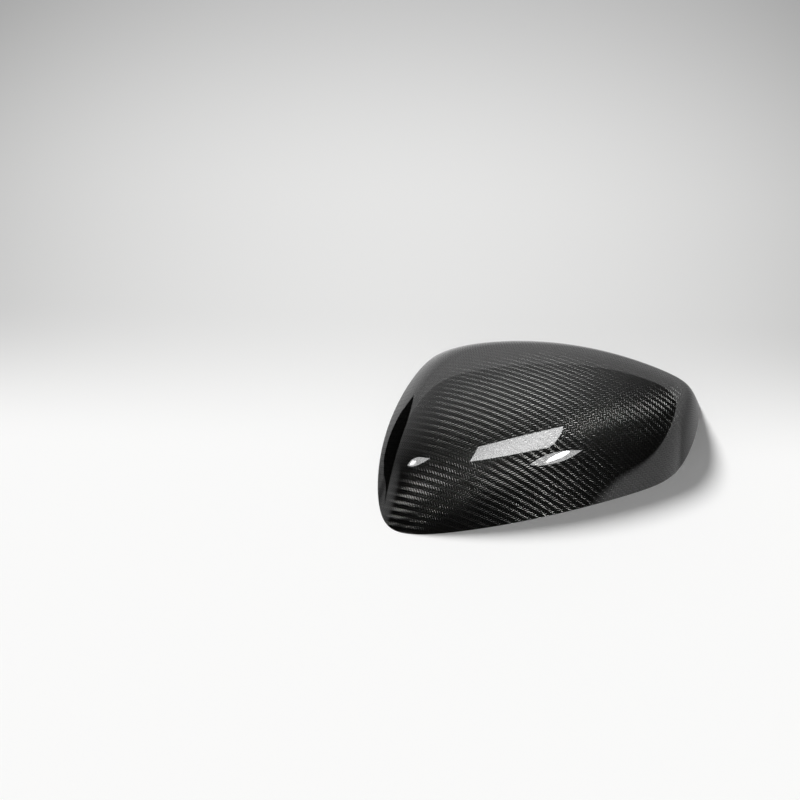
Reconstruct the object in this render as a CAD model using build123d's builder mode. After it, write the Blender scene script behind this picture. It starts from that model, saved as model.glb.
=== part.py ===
"""Wing mirror cover: one thin shell of carbon-fibre laminate, moulded in one piece and trimmed flat at the rim."""

import os
from math import cos, exp, hypot, log, radians, sin, tan

from build123d import *

os.makedirs("parts", exist_ok=True)

# Sizes in mm, angles in degrees. The cover rests on its rim in the plane Z = 0 with the hollow below.
# X runs from the wide end to the tip and Y from the near side to the far side.
cover_length = 235.5
cover_width = 162.7
crown_height = 50.5
laminate = 1.6
shoulder_blend = 11.4
corner_blend = 17.4

# Each wall stands on a bowed stretch of the rim. A rim point, a sweep and a bow radius place that stretch,
# and the draft is how far the wall leans in from upright. Rim points are shares of the length and the width.
near_x = 0.0135 * cover_length
near_y = -0.3936 * cover_width
near_sweep = 16.3
near_bow = 830.0
near_draft = 28.0

far_x = -0.0158 * cover_length
far_y = 0.4966 * cover_width
far_sweep = -5.5
far_bow = 264.0
far_draft = 21.0

wide_x = -0.4878 * cover_length
wide_y = -0.004 * cover_width
wide_sweep = -12.1
wide_bow = 195.0
wide_draft = 26.5

tip_x = 0.487 * cover_length
tip_y = 0.0685 * cover_width
tip_sweep = -15.5
tip_bow = 208.0
tip_draft = 15.0

# The crown is a shallow barrel whose highest point lies towards the tip and the far side.
crown_x = 0.1439 * cover_length
crown_y = 0.0882 * cover_width
crown_turn = 15.0
crown_radius_along = 386.0
crown_radius_across = 127.0

# The skin runs on past the rim before it is trimmed. It is sampled most closely along its steep edges.
overrun = 6.0
stations = 45
rows = 37


def soft_min(heights, blend):
    """The lowest of the heights, eased round where two of them meet."""
    lowest = min(heights)
    return lowest - blend * log(sum(exp((lowest - height) / blend) for height in heights))


def wall_height(x, y, rim_x, rim_y, facing, bow, draft):
    """Height at which the wall on one stretch of the rim passes over a point of the plan."""
    turn = radians(facing)
    inward = (x - rim_x) * cos(turn) + (y - rim_y) * sin(turn)
    along = (y - rim_y) * cos(turn) - (x - rim_x) * sin(turn)
    return (inward - (hypot(bow, along) - bow)) / tan(radians(draft))


def crown_at(x, y):
    turn = radians(crown_turn)
    along = (x - crown_x) * cos(turn) + (y - crown_y) * sin(turn)
    across = (y - crown_y) * cos(turn) - (x - crown_x) * sin(turn)
    return crown_height - along**2 / (2 * crown_radius_along) - across**2 / (2 * crown_radius_across)


def skin_height(x, y):
    """Height of the outer skin: four drafted walls eased into each other and into the crown."""
    walls = [
        wall_height(x, y, near_x, near_y, 90 + near_sweep, near_bow, near_draft),
        wall_height(x, y, far_x, far_y, -90 + far_sweep, far_bow, far_draft),
        wall_height(x, y, wide_x, wide_y, wide_sweep, wide_bow, wide_draft),
        wall_height(x, y, tip_x, tip_y, 180 + tip_sweep, tip_bow, tip_draft),
    ]
    return soft_min([soft_min(walls, corner_blend), crown_at(x, y)], shoulder_blend)


def spread(low, high, count):
    """Positions from low to high, closest together at both ends."""
    middle = (low + high) / 2
    reach = (high - low) / 2
    return [middle + reach * sin(radians(-78 + 156 * step / (count - 1))) / sin(radians(78)) for step in range(count)]


def station(x):
    """One row of points across the skin, from just outside the near rim to just outside the far rim."""
    near_limit = near_y + (x - near_x) * tan(radians(near_sweep)) - overrun
    far_limit = far_y + (x - far_x) * tan(radians(far_sweep)) - (x - far_x)**2 / (2 * far_bow) + overrun
    return [(x, y, skin_height(x, y)) for y in spread(near_limit, far_limit, rows)]


skin_points = [station(x) for x in spread(wide_x - overrun, tip_x + overrun, stations)]
skin = Face.make_surface_from_array_of_points(skin_points, tol=0.01, min_deg=3, max_deg=3)

# The skin is laid up in quarters, so that the rim is trimmed as four edges.
halves = skin.split(Plane.YZ, keep=Keep.BOTH)
quarters = [quarter for half in halves for quarter in half.split(Plane.XZ, keep=Keep.BOTH)]

with BuildPart() as cover_shell:
    blank = Solid.thicken(Shell(quarters), -laminate)
    add(blank.split(Plane.XY, keep=Keep.TOP), clean=False)

cover_shell.part.label = "cover shell"
export_step(cover_shell.part, "parts/cover_shell.step")
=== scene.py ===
"""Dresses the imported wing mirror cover: a gloss twill-weave shell on a pale studio floor."""

import math

import bpy
from mathutils import Matrix, Vector


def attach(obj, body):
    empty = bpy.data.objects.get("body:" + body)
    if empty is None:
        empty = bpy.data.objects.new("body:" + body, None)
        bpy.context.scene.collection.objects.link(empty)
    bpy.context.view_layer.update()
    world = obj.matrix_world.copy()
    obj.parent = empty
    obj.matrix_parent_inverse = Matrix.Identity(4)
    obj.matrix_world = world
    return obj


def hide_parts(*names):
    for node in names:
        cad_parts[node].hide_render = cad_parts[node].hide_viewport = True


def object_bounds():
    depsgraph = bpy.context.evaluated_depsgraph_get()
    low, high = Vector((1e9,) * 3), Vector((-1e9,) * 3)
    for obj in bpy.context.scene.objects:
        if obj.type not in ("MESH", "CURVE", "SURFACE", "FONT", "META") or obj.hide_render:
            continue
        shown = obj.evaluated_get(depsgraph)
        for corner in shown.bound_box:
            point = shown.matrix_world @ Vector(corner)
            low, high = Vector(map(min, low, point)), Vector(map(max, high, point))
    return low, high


bl_info = {
    "name": "Wing mirror cover",
    "version": (1, 0, 0),
    "blender": (4, 5, 0),
    "location": "3D View > Sidebar > Mirror Cover",
    "description": "Lays a twill-weave carbon-fibre shell on the form of a wing mirror cover",
    "category": "Object",
}

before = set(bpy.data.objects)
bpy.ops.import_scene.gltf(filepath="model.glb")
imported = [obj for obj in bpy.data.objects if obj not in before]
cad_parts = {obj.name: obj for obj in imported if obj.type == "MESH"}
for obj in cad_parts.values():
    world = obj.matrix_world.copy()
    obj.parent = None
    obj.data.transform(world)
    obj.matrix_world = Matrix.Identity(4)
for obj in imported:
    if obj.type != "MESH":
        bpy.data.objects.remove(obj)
CAD_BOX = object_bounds()
RIM_LENGTH, RIM_WIDTH, CROWN_TOP = CAD_BOX[1] - CAD_BOX[0]
# How far the eased walls lower the top of the crown, in metres.
EASED_OFF = 0.0000255

# Fineness of the shell's mesh, of the search for its rim and of the walk along the cloth.
COLUMNS, ROWS = 193, 145
RIM_HALVINGS = 22
CLOTH_STEPS = 48
# The rim is looked for between these shares of the ellipse in its bounding rectangle.
RIM_NEAREST, RIM_FURTHEST = 0.5, 1.6
# Points closer than this are one point, in metres.
SAME_POINT = 1e-6
# Edges folded more than this stay sharp, in radians.
SHARP_FOLD = 0.7
# Keeps the middle of the sheet from a division by zero.
NOT_ZERO = 1e-6
# A shell with fewer faces than this has failed.
FEWEST_FACES = 1000

# How far the draped cloth is pulled across and along its ribs.
# Each value is in millimetres, for one power of x and one of y in decimetres.
PULL_ACROSS = {
    (1, 0): -1.82, (0, 1): 11.16, (2, 0): 9.04, (1, 1): 6.32, (0, 2): 21.72,
    (3, 0): -4.14, (2, 1): -2.97, (1, 2): 12.57, (0, 3): 17.02,
}
PULL_ALONG = {
    (1, 0): -0.70, (0, 1): 7.72, (2, 0): -0.74, (1, 1): -3.99, (0, 2): 2.74,
    (3, 0): 3.14, (2, 1): 0.09, (1, 2): 19.75, (0, 3): 7.00,
}

# How much a tow is rounded across and along, as shares of its crown.
ROUNDED_ACROSS, ROUNDED_ALONG = 0.95, 0.15
# Slopes of a tow between which its crest turns into its bright flank.
# The crest is painted shade, which keeps the softbox's reflection out of the fibres.
CREST_SLOPE, FLANK_SLOPE = 0.12, 0.26

# Shares of the surroundings and of the lens-shaped lamps that light the fibres.
# The clear coat mirrors both in full.
ROOM_ON_FIBRES = 0.04
LENS_ON_FIBRES = 0.3
# Brightness of the room past the floor, as the camera sees it.
ROOM_LEVEL = 0.9

# The floor, the lamps and a black card, in metres.
# Each lamp that shows in the gloss lies where the cover mirrors it to the camera.
FLOOR = [(-3, -3, 0), (3, -3, 0), (3, 3, 0), (-3, 3, 0)]
SOFTBOX = [
    (-0.372, -0.244, 1.173),
    (-0.384, 0.004, 1.189),
    (0.127, -0.026, 1.241),
    (0.174, -0.226, 1.216),
    (0.235, -0.525, 1.110),
    (0.237, -0.596, 1.073),
]
SOFTBOX_REACH = 0.4
BLACK_CARD = [
    (-0.124, 0.062, 0.0005),
    (-0.437, 0.276, 0.0005),
    (-0.700, 0.276, 0.0005),
    (-0.700, -0.030, 0.0005),
    (-0.129, -0.030, 0.0005),
    (-0.122, -0.018, 0.0005),
    (-0.119, 0.006, 0.0005),
    (-0.118, 0.027, 0.0005),
]
# Each lens lamp: its name, its setting, its middle and its two half axes.
LENS_LAMPS = [
    (
        "strip_lamp", "strip",
        (-0.883, 0.122, 0.913), (0.168, -0.062, 0.180), (-0.019, 0.068, -0.028),
    ),
    (
        "strip_core", "strip_core",
        (-0.920, 0.136, 0.850), (0.063, -0.018, 0.067), (-0.019, 0.042, -0.027),
    ),
    (
        "bowl_lamp", "bowl",
        (0.426, -0.925, 0.725), (0.142, 0.004, -0.072), (-0.070, 0.107, 0.179),
    ),
]
LENS_STEPS = 16
BOWL_CORE_MIDDLE = (0.433, -0.907, 0.713)
BOWL_CORE_AXES = (0.047, 0.016, -0.007), (-0.033, 0.056, 0.093)
BOWL_CORE_TARGET = (0.004, -0.051, 0.020)
GRID_SPREAD = math.radians(12)
SUN_FROM = (-0.45, 0.62, 0.64)
SUN_SPREAD = math.radians(13)

# Where the camera stands and what it looks at, in metres, and its lens, in millimetres.
CAMERA_EYE = (-0.0818, -0.5341, 0.9327)
CAMERA_AIM = (-0.1045, 0.0288, 0.0)
CAMERA_LENS = 65.88


def length(name, description, default):
    return bpy.props.FloatProperty(
        name=name, description=description, default=default, precision=5, unit="LENGTH"
    )


def angle(name, description, degrees):
    return bpy.props.FloatProperty(
        name=name, description=description, default=math.radians(degrees), subtype="ANGLE"
    )


def share(name, description, default):
    return bpy.props.FloatProperty(
        name=name, description=description, default=default, min=0.0, max=1.0, subtype="FACTOR"
    )


def colour(name, description, default):
    return bpy.props.FloatVectorProperty(
        name=name,
        description=description,
        default=default,
        size=3,
        min=0.0,
        max=1.0,
        subtype="COLOR",
    )


def strength(name, description, default):
    return bpy.props.FloatProperty(name=name, description=description, default=default, min=0.0)


class CoverSizes(bpy.types.PropertyGroup):
    """Sizes of the shell: a crown and four drafted walls, eased into each other."""

    half_length: length("Half length", "Half the length of the rim", RIM_LENGTH / 2)
    half_width: length("Half width", "Half the width of the rim", RIM_WIDTH / 2)
    laminate: length("Laminate", "Thickness of the shell", 0.0016)
    shoulder_blend: length("Shoulder blend", "How softly the walls run into the crown", 0.0114)
    corner_blend: length("Corner blend", "How softly the walls run into each other", 0.0174)

    near_x: length("Near x", "Rim point of the near wall", 0.0135 * RIM_LENGTH)
    near_y: length("Near y", "Rim point of the near wall", -0.3936 * RIM_WIDTH)
    near_sweep: angle("Near sweep", "Turn of the near wall in plan", 16.3)
    near_bow: length("Near bow", "Bow radius of the near wall", 0.830)
    near_draft: angle("Near draft", "Lean of the near wall from upright", 28.0)

    far_x: length("Far x", "Rim point of the far wall", -0.0158 * RIM_LENGTH)
    far_y: length("Far y", "Rim point of the far wall", 0.4966 * RIM_WIDTH)
    far_sweep: angle("Far sweep", "Turn of the far wall in plan", -5.5)
    far_bow: length("Far bow", "Bow radius of the far wall", 0.264)
    far_draft: angle("Far draft", "Lean of the far wall from upright", 21.0)

    wide_x: length("Wide x", "Rim point of the wide end", -0.4878 * RIM_LENGTH)
    wide_y: length("Wide y", "Rim point of the wide end", -0.004 * RIM_WIDTH)
    wide_sweep: angle("Wide sweep", "Turn of the wide end in plan", -12.1)
    wide_bow: length("Wide bow", "Bow radius of the wide end", 0.195)
    wide_draft: angle("Wide draft", "Lean of the wide end from upright", 26.5)

    tip_x: length("Tip x", "Rim point of the tip", 0.487 * RIM_LENGTH)
    tip_y: length("Tip y", "Rim point of the tip", 0.0685 * RIM_WIDTH)
    tip_sweep: angle("Tip sweep", "Turn of the tip in plan", -15.5)
    tip_bow: length("Tip bow", "Bow radius of the tip", 0.208)
    tip_draft: angle("Tip draft", "Lean of the tip from upright", 15.0)

    crown_x: length("Crown x", "Highest point of the crown", 0.1439 * RIM_LENGTH)
    crown_y: length("Crown y", "Highest point of the crown", 0.0882 * RIM_WIDTH)
    crown_height: length(
        "Crown height", "Height of the crown before it is eased", CROWN_TOP + EASED_OFF
    )
    crown_turn: angle("Crown turn", "Turn of the crown's long axis in plan", 15.0)
    crown_along: length("Crown radius along", "Radius along the crown's long axis", 0.386)
    crown_across: length("Crown radius across", "Radius across the crown's long axis", 0.127)

    cloth_turn: angle("Cloth turn", "Turn of the cloth's first tows in plan", 11.0)


class CoverLook(bpy.types.PropertyGroup):
    """Colours and finish of the laminate."""

    tow_pitch: length("Tow pitch", "Spacing of the cloth's tows", 0.0016)
    tow_crown: length("Tow crown", "Height of a tow's rounded back", 0.00030)
    fibre: colour("Fibre", "Colour of the fibres' sheen", (0.128, 0.128, 0.123))
    # The dark resin colour also lies along each tow's crest as painted shade, which keeps the
    # softbox's reflection out of the fibres.
    resin_and_crest_shade: colour("Resin", "Colour between the tows and on their crests", (0.002, 0.002, 0.002))
    sheen_roughness: share("Sheen roughness", "Roughness of the fibres under the clear coat", 0.277)


class StageLook(bpy.types.PropertyGroup):
    """Colours and lamps of the studio."""

    floor: colour("Floor", "Colour of the floor in front", (0.96, 0.96, 0.955))
    backdrop: colour("Backdrop", "Colour of the floor behind the cover", (0.79, 0.79, 0.785))
    backdrop_top: colour("Backdrop top", "Colour of the floor furthest behind", (0.50, 0.50, 0.50))
    sun: strength("Sun", "Strength of the sun that lights the floor", 3.5)
    fill: strength("Fill", "Even light from all sides", 0.28)
    surroundings: strength("Surroundings", "Brightness of the surroundings in the gloss", 0.9)
    softbox: strength("Softbox", "Brightness of the overhead softbox", 15.0)
    strip: strength("Strip lamp", "Brightness of the strip lamp on the left", 9.0)
    strip_core: strength("Strip core", "Brightness in the middle of the strip lamp", 26.0)
    bowl: strength("Bowl lamp", "Brightness of the bowl lamp on the right", 9.0)
    bowl_core: strength("Bowl core", "Power of the gridded lamp in the middle of the bowl", 0.026)


class Wire:
    """A node's output as a value: each operator on it adds a Math node."""

    def __init__(self, socket):
        self.socket = socket

    @classmethod
    def node(cls, tree, kind, settings=None, sockets=None, output=0):
        """Adds a node, makes its settings, then fills its sockets with values or links."""
        made = tree.nodes.new(kind)
        for name, value in (settings or {}).items():
            setattr(made, name, value)
        for name, value in (sockets or {}).items():
            if isinstance(value, cls):
                tree.links.new(value.socket, made.inputs[name])
            else:
                made.inputs[name].default_value = value
        return cls(made.outputs[output]) if len(made.outputs) else None

    def beside(self, name):
        """Another output of the same node."""
        return Wire(self.socket.node.outputs[name])

    def maths(self, operation, *others):
        return self.chain(operation, self, *others)

    def chain(self, operation, *values):
        return Wire.node(
            self.socket.id_data, "ShaderNodeMath", {"operation": operation}, dict(enumerate(values))
        )

    def __add__(self, other):
        return self.chain("ADD", self, other)

    def __radd__(self, other):
        return self.chain("ADD", other, self)

    def __sub__(self, other):
        return self.chain("SUBTRACT", self, other)

    def __rsub__(self, other):
        return self.chain("SUBTRACT", other, self)

    def __mul__(self, other):
        return self.chain("MULTIPLY", self, other)

    def __rmul__(self, other):
        return self.chain("MULTIPLY", other, self)

    def __truediv__(self, other):
        return self.chain("DIVIDE", self, other)

    def __rtruediv__(self, other):
        return self.chain("DIVIDE", other, self)

    def __neg__(self):
        return self.chain("MULTIPLY", self, -1.0)

    def between(self, low, high):
        """0 at low, 1 at high, eased."""
        return Wire.node(
            self.socket.id_data,
            "ShaderNodeMapRange",
            {"interpolation_type": "SMOOTHSTEP"},
            {"Value": self, "From Min": low, "From Max": high},
        )

    def towards(self, other, factor):
        """This value at factor 0, the other at factor 1."""
        return self + factor * (other - self)


def setting_names(group):
    """Names of the settings that a property group adds."""
    names = [item.identifier for item in group.bl_rna.properties]
    return [name for name in names if name not in ("name", "rna_type")]


def size_names():
    return setting_names(CoverSizes)


def soft_lowest(parts, blend):
    """Height and slopes of the lowest part, eased round where two of them meet."""
    weights = [(-part[0] / blend).maths("EXPONENT") for part in parts]
    total = sum(weights[1:], weights[0])
    height = -blend * total.maths("LOGARITHM", math.e)
    slopes = []
    for axis in (1, 2):
        leaning = [weight * part[axis] for weight, part in zip(weights, parts)]
        slopes.append(sum(leaning[1:], leaning[0]) / total)
    return height, *slopes


def wall(x, y, rim_x, rim_y, facing, bow, draft):
    """Height and slopes of the drafted wall that stands on one bowed stretch of the rim."""
    cosine = facing.maths("COSINE")
    sine = facing.maths("SINE")
    inward = (x - rim_x) * cosine + (y - rim_y) * sine
    along = (y - rim_y) * cosine - (x - rim_x) * sine
    reach = (bow * bow + along * along).maths("SQRT")
    rise = 1 / draft.maths("TANGENT")
    tilt = along / reach
    height = (inward - reach + bow) * rise
    return height, (cosine + tilt * sine) * rise, (sine - tilt * cosine) * rise


def crown(x, y, size):
    """Height and slopes of the crown, a shallow barrel turned in plan."""
    cosine = size("crown_turn").maths("COSINE")
    sine = size("crown_turn").maths("SINE")
    along = (x - size("crown_x")) * cosine + (y - size("crown_y")) * sine
    across = (y - size("crown_y")) * cosine - (x - size("crown_x")) * sine
    bend_along = along / size("crown_along")
    bend_across = across / size("crown_across")
    height = size("crown_height") - along * bend_along / 2 - across * bend_across / 2
    slope_x = bend_across * sine - bend_along * cosine
    slope_y = -(bend_along * sine + bend_across * cosine)
    return height, slope_x, slope_y


def skin_rule():
    """Node group: height and slopes of the outer skin over a point of the plan."""
    tree = bpy.data.node_groups.new("Cover skin rule", "GeometryNodeTree")
    for name in ("X", "Y", *size_names()):
        tree.interface.new_socket(name, in_out="INPUT", socket_type="NodeSocketFloat")
    for name in ("Height", "Slope X", "Slope Y"):
        tree.interface.new_socket(name, in_out="OUTPUT", socket_type="NodeSocketFloat")
    size = Wire.node(tree, "NodeGroupInput").beside
    x, y = size("X"), size("Y")
    walls = []
    for side, quarter in (("near", 90), ("far", -90), ("wide", 0), ("tip", 180)):
        facing = size(f"{side}_sweep") + math.radians(quarter)
        rim_x, rim_y = size(f"{side}_x"), size(f"{side}_y")
        walls.append(wall(x, y, rim_x, rim_y, facing, size(f"{side}_bow"), size(f"{side}_draft")))
    skirt = soft_lowest(walls, size("corner_blend"))
    height, slope_x, slope_y = soft_lowest([skirt, crown(x, y, size)], size("shoulder_blend"))
    results = {"Height": height, "Slope X": slope_x, "Slope Y": slope_y}
    Wire.node(tree, "NodeGroupOutput", sockets=results)
    return tree


def shell_tree():
    """Geometry tree that lays the outer and inner skin of the shell and closes them at the rim."""
    rule = skin_rule()
    tree = bpy.data.node_groups.new("Cover shell", "GeometryNodeTree")
    tree.interface.new_socket("Geometry", in_out="OUTPUT", socket_type="NodeSocketGeometry")
    for name, kind in (("Columns", "Int"), ("Rows", "Int"), ("Finish", "Material")):
        tree.interface.new_socket(name, in_out="INPUT", socket_type=f"NodeSocket{kind}")
    for name in size_names():
        tree.interface.new_socket(name, in_out="INPUT", socket_type="NodeSocketFloat")
    size = Wire.node(tree, "NodeGroupInput").beside

    def skin(x, y):
        sockets = {"X": x, "Y": y, **{name: size(name) for name in size_names()}}
        height = Wire.node(tree, "GeometryNodeGroup", {"node_tree": rule}, sockets)
        return height, height.beside("Slope X"), height.beside("Slope Y")

    def kept(name):
        return Wire.node(
            tree, "GeometryNodeInputNamedAttribute", {"data_type": "FLOAT"}, {"Name": name}
        )

    def keep(geometry, domain="POINT", **values):
        for name, value in values.items():
            geometry = Wire.node(
                tree,
                "GeometryNodeStoreNamedAttribute",
                {"data_type": "FLOAT", "domain": domain},
                {"Geometry": geometry, "Name": name, "Value": value},
            )
        return geometry

    def repeat(geometry, times, step):
        start = tree.nodes.new("GeometryNodeRepeatInput")
        end = tree.nodes.new("GeometryNodeRepeatOutput")
        start.pair_with_output(end)
        start.inputs["Iterations"].default_value = times
        tree.links.new(geometry.socket, start.inputs["Geometry"])
        stepped = step(Wire(start.outputs["Geometry"]), Wire(start.outputs["Iteration"]))
        tree.links.new(stepped.socket, end.inputs["Geometry"])
        return Wire(end.outputs["Geometry"])

    def on_skin(x, y, depth):
        """Point of the laminate at a depth under the outer skin."""
        height, slope_x, slope_y = skin(x, y)
        upright = 1 / (1 + slope_x * slope_x + slope_y * slope_y).maths("SQRT")
        drop = depth * upright
        return x + drop * slope_x, y + drop * slope_y, height - drop

    def place(x, y, z):
        return Wire.node(tree, "ShaderNodeCombineXYZ", sockets={"X": x, "Y": y, "Z": z})

    sheet = Wire.node(
        tree,
        "GeometryNodeMeshGrid",
        sockets={
            "Size X": 2.0,
            "Size Y": 2.0,
            "Vertices X": size("Columns"),
            "Vertices Y": size("Rows"),
        },
    )
    corner = Wire.node(
        tree,
        "ShaderNodeSeparateXYZ",
        sockets={0: Wire.node(tree, "GeometryNodeInputPosition")},
    )
    across, up = corner.beside("X"), corner.beside("Y")
    round_x = across * (1 - up * up / 2).maths("SQRT")
    round_y = up * (1 - across * across / 2).maths("SQRT")
    outness = (round_x * round_x + round_y * round_y).maths("SQRT").maths("MAXIMUM", NOT_ZERO)
    sheet = keep(
        sheet,
        aim_x=round_x / outness * size("half_length"),
        aim_y=round_y / outness * size("half_width"),
        outness=outness,
        outer_low=RIM_NEAREST,
        outer_high=RIM_FURTHEST,
        inner_low=RIM_NEAREST,
        inner_high=RIM_FURTHEST,
    )

    def halve(geometry, count):
        """Narrows down how far out the rim lies, for the outer and for the inner skin."""
        bounds = {}
        for side, depth in (("outer", 0.0), ("inner", size("laminate"))):
            low, high = kept(f"{side}_low"), kept(f"{side}_high")
            middle = (low + high) / 2
            spot = on_skin(kept("aim_x") * middle, kept("aim_y") * middle, depth)
            above = spot[2].maths("GREATER_THAN", 0.0)
            bounds[f"{side}_low"] = low.towards(middle, above)
            bounds[f"{side}_high"] = middle.towards(high, above)
        captured = keep(geometry, **{f"next_{name}": value for name, value in bounds.items()})
        return keep(captured, **{name: kept(f"next_{name}") for name in bounds})

    sheet = repeat(sheet, RIM_HALVINGS, halve)
    plan = {}
    for side in ("outer", "inner"):
        reach = (kept(f"{side}_low") + kept(f"{side}_high")) / 2 * kept("outness")
        plan[f"{side}_x"] = kept("aim_x") * reach
        plan[f"{side}_y"] = kept("aim_y") * reach
    sheet = keep(sheet, **plan)

    cosine = size("cloth_turn").maths("COSINE")
    sine = size("cloth_turn").maths("SINE")
    first = kept("outer_x") * cosine + kept("outer_y") * sine
    second = kept("outer_y") * cosine - kept("outer_x") * sine

    def on_cloth(one, two):
        return skin(one * cosine - two * sine, one * sine + two * cosine)[0]

    def stride(flat, climb):
        return (flat * flat + climb * climb).maths("SQRT")

    sheet = keep(
        sheet,
        first_height=on_cloth(first * 0, second),
        second_height=on_cloth(first, second * 0),
        first_run=0.0,
        second_run=0.0,
    )

    def lay(geometry, count):
        """Follows both tows one step further over the skin and adds up their lengths."""
        done = (count + 1) / CLOTH_STEPS
        first_next = on_cloth(first * done, second)
        second_next = on_cloth(first, second * done)
        geometry = keep(geometry, first_next=first_next, second_next=second_next)
        first_climb = kept("first_next") - kept("first_height")
        second_climb = kept("second_next") - kept("second_height")
        geometry = keep(
            geometry,
            first_run=kept("first_run") + stride(first / CLOTH_STEPS, first_climb),
            second_run=kept("second_run") + stride(second / CLOTH_STEPS, second_climb),
        )
        return keep(geometry, first_height=kept("first_next"), second_height=kept("second_next"))

    sheet = repeat(sheet, CLOTH_STEPS, lay)
    first_tow = kept("first_run") * first.maths("SIGN")
    second_tow = kept("second_run") * second.maths("SIGN")

    def pull(amounts):
        """Sum of the powers of x and y, each times its amount, in metres."""
        x, y = kept("outer_x") * 10, kept("outer_y") * 10
        terms = []
        for (power_x, power_y), amount in amounts.items():
            factors = [x] * power_x + [y] * power_y
            terms.append(math.prod(factors[1:], start=factors[0]) * (amount / 1000))
        return sum(terms[1:], terms[0])

    # The ribs of a twill run on the diagonal of its tows.
    diagonal = math.sqrt(0.5)
    rib = (first_tow + second_tow) * diagonal + pull(PULL_ACROSS)
    along = (first_tow - second_tow) * diagonal + pull(PULL_ALONG)
    sheet = keep(sheet, tow_u=(rib + along) * diagonal, tow_v=(rib - along) * diagonal)

    def settle(geometry, side, depth, chosen=None):
        x, y, z = on_skin(kept(f"{side}_x"), kept(f"{side}_y"), depth)
        sockets = {"Geometry": geometry, "Position": place(x, y, z.maths("MAXIMUM", 0.0))}
        if chosen:
            sockets["Selection"] = chosen
        return Wire.node(tree, "GeometryNodeSetPosition", sockets=sockets)

    # Edges with one face form the rim.
    rim = Wire.node(tree, "GeometryNodeInputMeshEdgeNeighbors").maths("LESS_THAN", 1.5)
    outer = keep(settle(sheet, "outer", 0.0), domain="FACE", inside=0.0)
    trimmed = Wire.node(
        tree,
        "GeometryNodeExtrudeMesh",
        {"mode": "EDGES"},
        {"Mesh": outer, "Selection": rim, "Offset Scale": 0.0},
    )
    outer = settle(trimmed, "inner", size("laminate"), trimmed.beside("Top"))
    inner = keep(settle(sheet, "inner", size("laminate")), domain="FACE", inside=1.0)
    inner = Wire.node(tree, "GeometryNodeFlipFaces", sockets={"Mesh": inner})
    both = Wire.node(tree, "GeometryNodeJoinGeometry", sockets={"Geometry": outer})
    tree.links.new(inner.socket, both.socket.node.inputs["Geometry"])
    shell = Wire.node(
        tree, "GeometryNodeMergeByDistance", sockets={"Geometry": both, "Distance": SAME_POINT}
    )
    shell = Wire.node(
        tree,
        "GeometryNodeStoreNamedAttribute",
        {"data_type": "FLOAT2", "domain": "CORNER"},
        {"Geometry": shell, "Name": "cloth", "Value": place(kept("tow_u"), kept("tow_v"), 0.0)},
    )
    shell = Wire.node(tree, "GeometryNodeSetShadeSmooth", {"domain": "FACE"}, {"Geometry": shell})
    folded = Wire.node(tree, "GeometryNodeInputMeshEdgeAngle").maths("GREATER_THAN", SHARP_FOLD)
    shell = Wire.node(
        tree,
        "GeometryNodeSetShadeSmooth",
        {"domain": "EDGE"},
        {"Geometry": shell, "Selection": folded, "Shade Smooth": False},
    )
    shell = Wire.node(tree, "GeometryNodeRealizeInstances", sockets={"Geometry": shell})
    shell = Wire.node(
        tree, "GeometryNodeSetMaterial", sockets={"Geometry": shell, "Material": size("Finish")}
    )
    Wire.node(tree, "NodeGroupOutput", sockets={"Geometry": shell})
    return tree


def bare_tree(owner):
    """Empty node tree of a new material or world."""
    owner.use_nodes = True
    owner.node_tree.nodes.clear()
    return owner.node_tree


def mixed(tree, factor, first, second):
    """Colour that is the first at factor 0 and the second at factor 1."""
    first, second = (end if isinstance(end, Wire) else (*end, 1.0) for end in (first, second))
    return Wire.node(
        tree, "ShaderNodeMix", {"data_type": "RGBA"}, {0: factor, 6: first, 7: second}, output=2
    )


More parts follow.
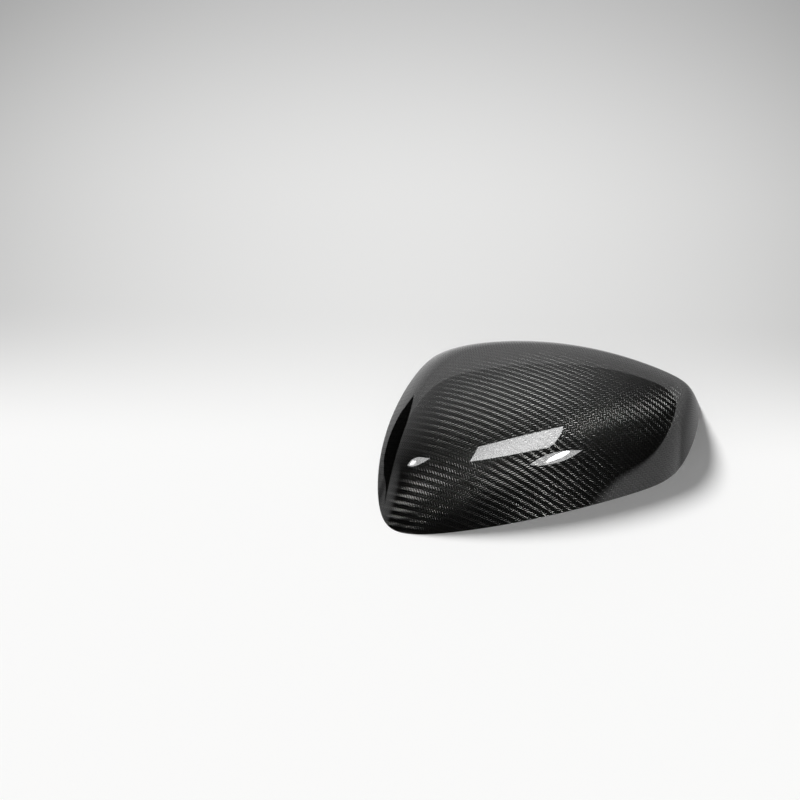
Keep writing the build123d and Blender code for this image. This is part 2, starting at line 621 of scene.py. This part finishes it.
def twill_laminate(look):
    """Clear-coated carbon fibre: a two-by-two twill of rounded tows under a smooth coat."""
    finish = bpy.data.materials.new("twill_laminate")
    tree = bare_tree(finish)
    steepness = 4 * ROUNDED_ACROSS * look.tow_crown / look.tow_pitch

    cloth = Wire.node(tree, "ShaderNodeUVMap", {"uv_map": "cloth"})
    run = Wire.node(tree, "ShaderNodeSeparateXYZ", sockets={0: cloth})
    u = run.beside("X") / look.tow_pitch
    v = run.beside("Y") / look.tow_pitch
    u_place, v_place = u.maths("FRACT"), v.maths("FRACT")
    u_tow, v_tow = u.maths("FLOOR"), v.maths("FLOOR")
    # Of each four crossings in a row, two show the first tows and two the second.
    phase = (u_tow + v_tow).maths("FLOORED_MODULO", 4.0)
    second = phase.maths("GREATER_THAN", 1.5)

    def hump(place):
        centred = place * 2 - 1
        return 1 - centred * centred

    def tow(across, along):
        """Height of a rounded tow and how much of its sheen shows.

        The sheen lies on both flanks and dips at both edges and at both ends.
        Along the crest it gives way to painted shade, which keeps the softbox's reflection out of
        the fibres.
        """
        height = hump(across) * ROUNDED_ACROSS + hump(along) * ROUNDED_ALONG
        lean = (across * 2 - 1).maths("ABSOLUTE") * steepness
        inner = (hump(across) * 1.6).maths("MINIMUM", 1.0)
        inner = inner * (hump(along) * 2.0).maths("MINIMUM", 1.0)
        # Where the tow lies flat, along its crest, the colour is painted shade; a real tow is not
        # darker there.
        return height, inner * lean.between(CREST_SLOPE, FLANK_SLOPE)

    def streaks(x, y):
        """Fine streaks, drawn out along the axis that is scaled least."""
        spot = Wire.node(tree, "ShaderNodeCombineXYZ", sockets={"X": x, "Y": y})
        return Wire.node(
            tree,
            "ShaderNodeTexNoise",
            {"noise_dimensions": "2D"},
            {"Vector": spot, "Scale": 1.0, "Detail": 1.0},
        )

    first_height, first_sheen = tow(u_place, (phase + v_place) / 2)
    second_height, second_sheen = tow(v_place, (phase - 2 + u_place) / 2)
    height = first_height.towards(second_height, second)
    sheen = first_sheen.towards(second_sheen, second)

    streak = streaks(u * 9, v * 0.7).towards(streaks(u * 0.7, v * 9), second)
    tow_number = u_tow.towards(v_tow + 0.5, second)
    lot = Wire.node(tree, "ShaderNodeTexWhiteNoise", {"noise_dimensions": "1D"}, {"W": tow_number})
    bump = Wire.node(
        tree,
        "ShaderNodeBump",
        sockets={
            "Strength": 1.0,
            "Distance": look.tow_crown,
            "Filter Width": 0.02,
            "Height": height + streak * 0.03,
        },
    )

    # The sheen varies a little along each tow and from tow to tow.
    fibre = sheen * (0.75 + streak * 0.3 + lot * 0.15)
    # The dark end is the resin between the tows and painted shade along each crest, which keeps the
    # softbox's reflection out of the fibres.
    tint = mixed(tree, fibre, look.resin_and_crest_shade, look.fibre)

    # The inside is duller, with little of the coat.
    inside = Wire.node(tree, "ShaderNodeAttribute", {"attribute_name": "inside"}).beside("Fac")
    shader = Wire.node(
        tree,
        "ShaderNodeBsdfPrincipled",
        sockets={
            "Base Color": tint,
            "Metallic": 1.0,
            "Roughness": look.sheen_roughness + streak * 0.01 + inside * 0.2,
            "Normal": bump,
            "Coat Weight": 1 - inside * 0.85,
            "Coat Roughness": 0.0,
            "Coat IOR": 1.5,
        },
    )
    Wire.node(tree, "ShaderNodeOutputMaterial", sockets={"Surface": shader})
    return finish


class MIRRORCOVER_OT_shell(bpy.types.Operator):
    """Lay the shell of the cover and give it its laminate"""

    bl_idname = "mirror_cover.shell"
    bl_label = "Lay Shell"

    def execute(self, context):
        scene = context.scene
        sizes = scene.mirror_cover_sizes
        tree = shell_tree()
        settings = {name: getattr(sizes, name) for name in size_names()}
        settings.update(Columns=COLUMNS, Rows=ROWS, Finish=twill_laminate(scene.mirror_cover_look))
        piece = bpy.data.objects.new("twill_shell", bpy.data.meshes.new("twill_shell_base"))
        scene.collection.objects.link(piece)
        modifier = piece.modifiers.new("Cover shell", "NODES")
        modifier.node_group = tree
        for item in tree.interface.items_tree:
            if item.in_out == "INPUT":
                modifier[item.identifier] = settings[item.name]
        piece.update_tag()
        depsgraph = context.evaluated_depsgraph_get()
        mesh = bpy.data.meshes.new_from_object(piece.evaluated_get(depsgraph))
        piece.modifiers.clear()
        piece.data = mesh
        mesh.name = "twill_shell"
        scratch = [a.name for a in mesh.attributes if a.data_type == "FLOAT" and a.name != "inside"]
        for name in scratch:
            mesh.attributes.remove(mesh.attributes[name])
        if len(mesh.polygons) < FEWEST_FACES:
            raise RuntimeError("the shell came out empty")
        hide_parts("cover_shell")
        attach(piece, "root")
        return {"FINISHED"}


def spared(tree, level, on_fibres):
    """The level in full for the clear coat, which is a mirror, and a share of it for the fibres."""
    mirror = Wire.node(tree, "ShaderNodeLightPath").beside("Is Singular Ray")
    return level * (on_fibres + (1 - on_fibres) * mirror)


def glowing(name, brightness, middle=(0.0, 0.0, 0.0), reach=0.0, on_fibres=1.0):
    """Light of a lamp, which may fall off by a quarter at a reach from its middle."""
    finish = bpy.data.materials.new(name)
    tree = bare_tree(finish)
    level = brightness
    if on_fibres < 1:
        level = spared(tree, level, on_fibres)
    if reach:
        spot = Wire.node(tree, "ShaderNodeTexCoord").beside("Object")
        away = Wire.node(
            tree,
            "ShaderNodeVectorMath",
            {"operation": "DISTANCE"},
            {0: spot, 1: middle},
            output="Value",
        )
        level = level * (1 - 0.25 * (away / reach) * (away / reach))
    glow = Wire.node(tree, "ShaderNodeEmission", sockets={"Strength": level})
    Wire.node(tree, "ShaderNodeOutputMaterial", sockets={"Surface": glow})
    return finish


def stage_sheet(name, corners, finish):
    mesh = bpy.data.meshes.new(name)
    mesh.from_pydata(corners, [], [tuple(range(len(corners)))])
    mesh.materials.append(finish)
    sheet = bpy.data.objects.new(name, mesh)
    bpy.context.scene.collection.objects.link(sheet)
    return sheet


def only_in_gloss(piece):
    """The piece of the stage shows in reflections alone."""
    piece.visible_camera = False
    piece.visible_diffuse = False
    piece.visible_transmission = False


def glow_sheet(name, corners, finish):
    """A glowing or black sheet that casts no shadow."""
    sheet = stage_sheet(name, corners, finish)
    sheet.visible_shadow = False
    only_in_gloss(sheet)


def mount(name, data, turn, place=(0.0, 0.0, 0.0)):
    """Puts a lamp or the camera in the scene, turned and placed."""
    holder = bpy.data.objects.new(name, data)
    holder.location = place
    holder.rotation_mode = "QUATERNION"
    holder.rotation_quaternion = turn
    bpy.context.scene.collection.objects.link(holder)
    return holder


def lens_lamp(name, middle, long_axis, short_axis, brightness):
    """A glowing lens with two pointed ends, spanned by its two half axes."""
    middle, long_axis, short_axis = Vector(middle), Vector(long_axis), Vector(short_axis)
    steps = [step / LENS_STEPS - 1 for step in range(2 * LENS_STEPS + 1)]
    upper = [middle + long_axis * s + short_axis * (1 - s * s) for s in steps]
    lower = [middle + long_axis * s - short_axis * (1 - s * s) for s in reversed(steps[1:-1])]
    glow_sheet(name, upper + lower, glowing(name, brightness, on_fibres=LENS_ON_FIBRES))


def gridded_lamp(name, middle, long_axis, short_axis, target, power):
    """An oval lamp behind a grid that keeps its light round a target."""
    middle, long_axis, short_axis = Vector(middle), Vector(long_axis), Vector(short_axis)
    lamp = bpy.data.lights.new(name, "AREA")
    lamp.shape = "ELLIPSE"
    lamp.size = 2 * long_axis.length
    lamp.size_y = 2 * short_axis.length
    lamp.spread = GRID_SPREAD
    lamp.energy = power
    back = (middle - Vector(target)).normalized()
    upright = back.cross(long_axis).normalized()
    turn = Matrix((upright.cross(back), upright, back)).transposed().to_quaternion()
    only_in_gloss(mount(name, lamp, turn, middle))


def floor_finish(stage):
    """White floor that turns grey behind the cover and towards both sides there."""
    finish = bpy.data.materials.new("studio_floor")
    tree = bare_tree(finish)
    spot = Wire.node(
        tree,
        "ShaderNodeSeparateXYZ",
        sockets={0: Wire.node(tree, "ShaderNodeTexCoord").beside("Object")},
    )
    x, y = spot.beside("X"), spot.beside("Y")
    behind = y.between(-0.02, 0.11)
    sideways = (x + 0.11) / 0.33
    rise = mixed(tree, y.between(0.20, 0.56), stage.backdrop, stage.backdrop_top)
    tint = mixed(tree, behind, stage.floor, rise)
    shade = 1 - 0.25 * behind * (sideways * sideways).maths("MINIMUM", 1.6)
    tint = Wire.node(
        tree, "ShaderNodeVectorMath", {"operation": "SCALE"}, {0: tint, "Scale": shade}
    )
    shader = Wire.node(tree, "ShaderNodeBsdfDiffuse", sockets={"Color": tint})
    Wire.node(tree, "ShaderNodeOutputMaterial", sockets={"Surface": shader})
    return finish


def studio_world(stage):
    """Even fill for the floor, and for the gloss a dark room with pale surroundings.

    The clear coat mirrors the surroundings in full, and the fibres see a small share of them.
    """
    world = bpy.data.worlds.new("studio_world")
    tree = bare_tree(world)
    direction = Wire.node(
        tree,
        "ShaderNodeSeparateXYZ",
        sockets={0: Wire.node(tree, "ShaderNodeTexCoord").beside("Generated")},
    )
    x, y, z = direction.beside("X"), direction.beside("Y"), direction.beside("Z")
    # The surroundings are pale under a tilted, bent edge, and darker further down.
    over_tip = (y + 0.25) / 0.55
    edge = 0.22 * (1 - over_tip * over_tip).maths("MAXIMUM", 0.0) - 0.025
    low = (0.53 * x + 0.497 * y - 0.687 * z - edge).between(-0.02, 0.02)
    right = x.between(0.3, 0.6) * (1 - y.between(-0.2, 0.2))
    deep = (-z).between(-0.4, 0.6)
    level = low * (1.65 - 1.25 * deep).maths("MAXIMUM", right * 1.1)
    # They are pale on the far side too, and at the left end.
    ceiling = 0.9 * y.between(0.1, 0.8) * (1 - 0.6 * x.between(0.0, 0.4))
    left = (-x).between(0.86, 0.99)
    seen = 0.005 + stage.surroundings * level.maths("MAXIMUM", ceiling).maths("MAXIMUM", left)
    seen = spared(tree, seen, ROOM_ON_FIBRES)
    rays = Wire.node(tree, "ShaderNodeLightPath")
    gloss = rays.beside("Is Glossy Ray")
    camera = rays.beside("Is Camera Ray")
    level = (stage.fill + gloss * (seen - stage.fill)).towards(ROOM_LEVEL, camera)
    back = Wire.node(
        tree, "ShaderNodeBackground", sockets={"Color": (1.0, 1.0, 1.0, 1.0), "Strength": level}
    )
    Wire.node(tree, "ShaderNodeOutputWorld", sockets={"Surface": back})
    return world


class MIRRORCOVER_OT_stage(bpy.types.Operator):
    """Set up the floor, the lamps and the camera"""

    bl_idname = "mirror_cover.stage"
    bl_label = "Set Stage"

    def execute(self, context):
        scene = context.scene
        stage = scene.mirror_cover_stage
        scene.view_settings.view_transform = "Standard"
        scene.world = studio_world(stage)
        floor = stage_sheet("studio_floor", FLOOR, floor_finish(stage))
        floor.visible_glossy = False

        sun = bpy.data.lights.new("studio_sun", "SUN")
        sun.energy = stage.sun
        sun.angle = SUN_SPREAD
        mount("studio_sun", sun, Vector(SUN_FROM).to_track_quat("Z", "Y")).visible_glossy = False

        middle = sum((Vector(corner) for corner in SOFTBOX), Vector()) / len(SOFTBOX)
        glow_sheet("softbox", SOFTBOX, glowing("softbox", stage.softbox, middle, SOFTBOX_REACH))
        for name, setting, centre, long_axis, short_axis in LENS_LAMPS:
            lens_lamp(name, centre, long_axis, short_axis, getattr(stage, setting))
        gridded_lamp(
            "bowl_core", BOWL_CORE_MIDDLE, *BOWL_CORE_AXES, BOWL_CORE_TARGET, stage.bowl_core
        )
        glow_sheet("black_card", BLACK_CARD, glowing("black_card", 0.0))

        camera = bpy.data.cameras.new("camera")
        camera.lens = CAMERA_LENS
        camera.sensor_width = 36.0
        view = Vector(CAMERA_AIM) - Vector(CAMERA_EYE)
        holder = mount("camera", camera, view.to_track_quat("-Z", "Y"), CAMERA_EYE)
        scene.camera = holder
        return {"FINISHED"}


class MIRRORCOVER_PT_panel(bpy.types.Panel):
    """Sidebar panel of the cover"""

    bl_idname = "MIRRORCOVER_PT_panel"
    bl_label = "Mirror Cover"
    bl_space_type = "VIEW_3D"
    bl_region_type = "UI"
    bl_category = "Mirror Cover"

    def draw(self, context):
        layout = self.layout
        layout.operator(MIRRORCOVER_OT_shell.bl_idname)
        layout.operator(MIRRORCOVER_OT_stage.bl_idname)
        for group in ("mirror_cover_sizes", "mirror_cover_look", "mirror_cover_stage"):
            values = getattr(context.scene, group)
            box = layout.box()
            for name in setting_names(values):
                box.prop(values, name)


CLASSES = (
    CoverSizes,
    CoverLook,
    StageLook,
    MIRRORCOVER_OT_shell,
    MIRRORCOVER_OT_stage,
    MIRRORCOVER_PT_panel,
)


def register():
    for made in CLASSES:
        bpy.utils.register_class(made)
    bpy.types.Scene.mirror_cover_sizes = bpy.props.PointerProperty(type=CoverSizes)
    bpy.types.Scene.mirror_cover_look = bpy.props.PointerProperty(type=CoverLook)
    bpy.types.Scene.mirror_cover_stage = bpy.props.PointerProperty(type=StageLook)


def unregister():
    del bpy.types.Scene.mirror_cover_stage
    del bpy.types.Scene.mirror_cover_look
    del bpy.types.Scene.mirror_cover_sizes
    for made in reversed(CLASSES):
        bpy.utils.unregister_class(made)


def main():
    register()
    bpy.ops.mirror_cover.shell()
    bpy.ops.mirror_cover.stage()


if __name__ == "__main__":
    main()
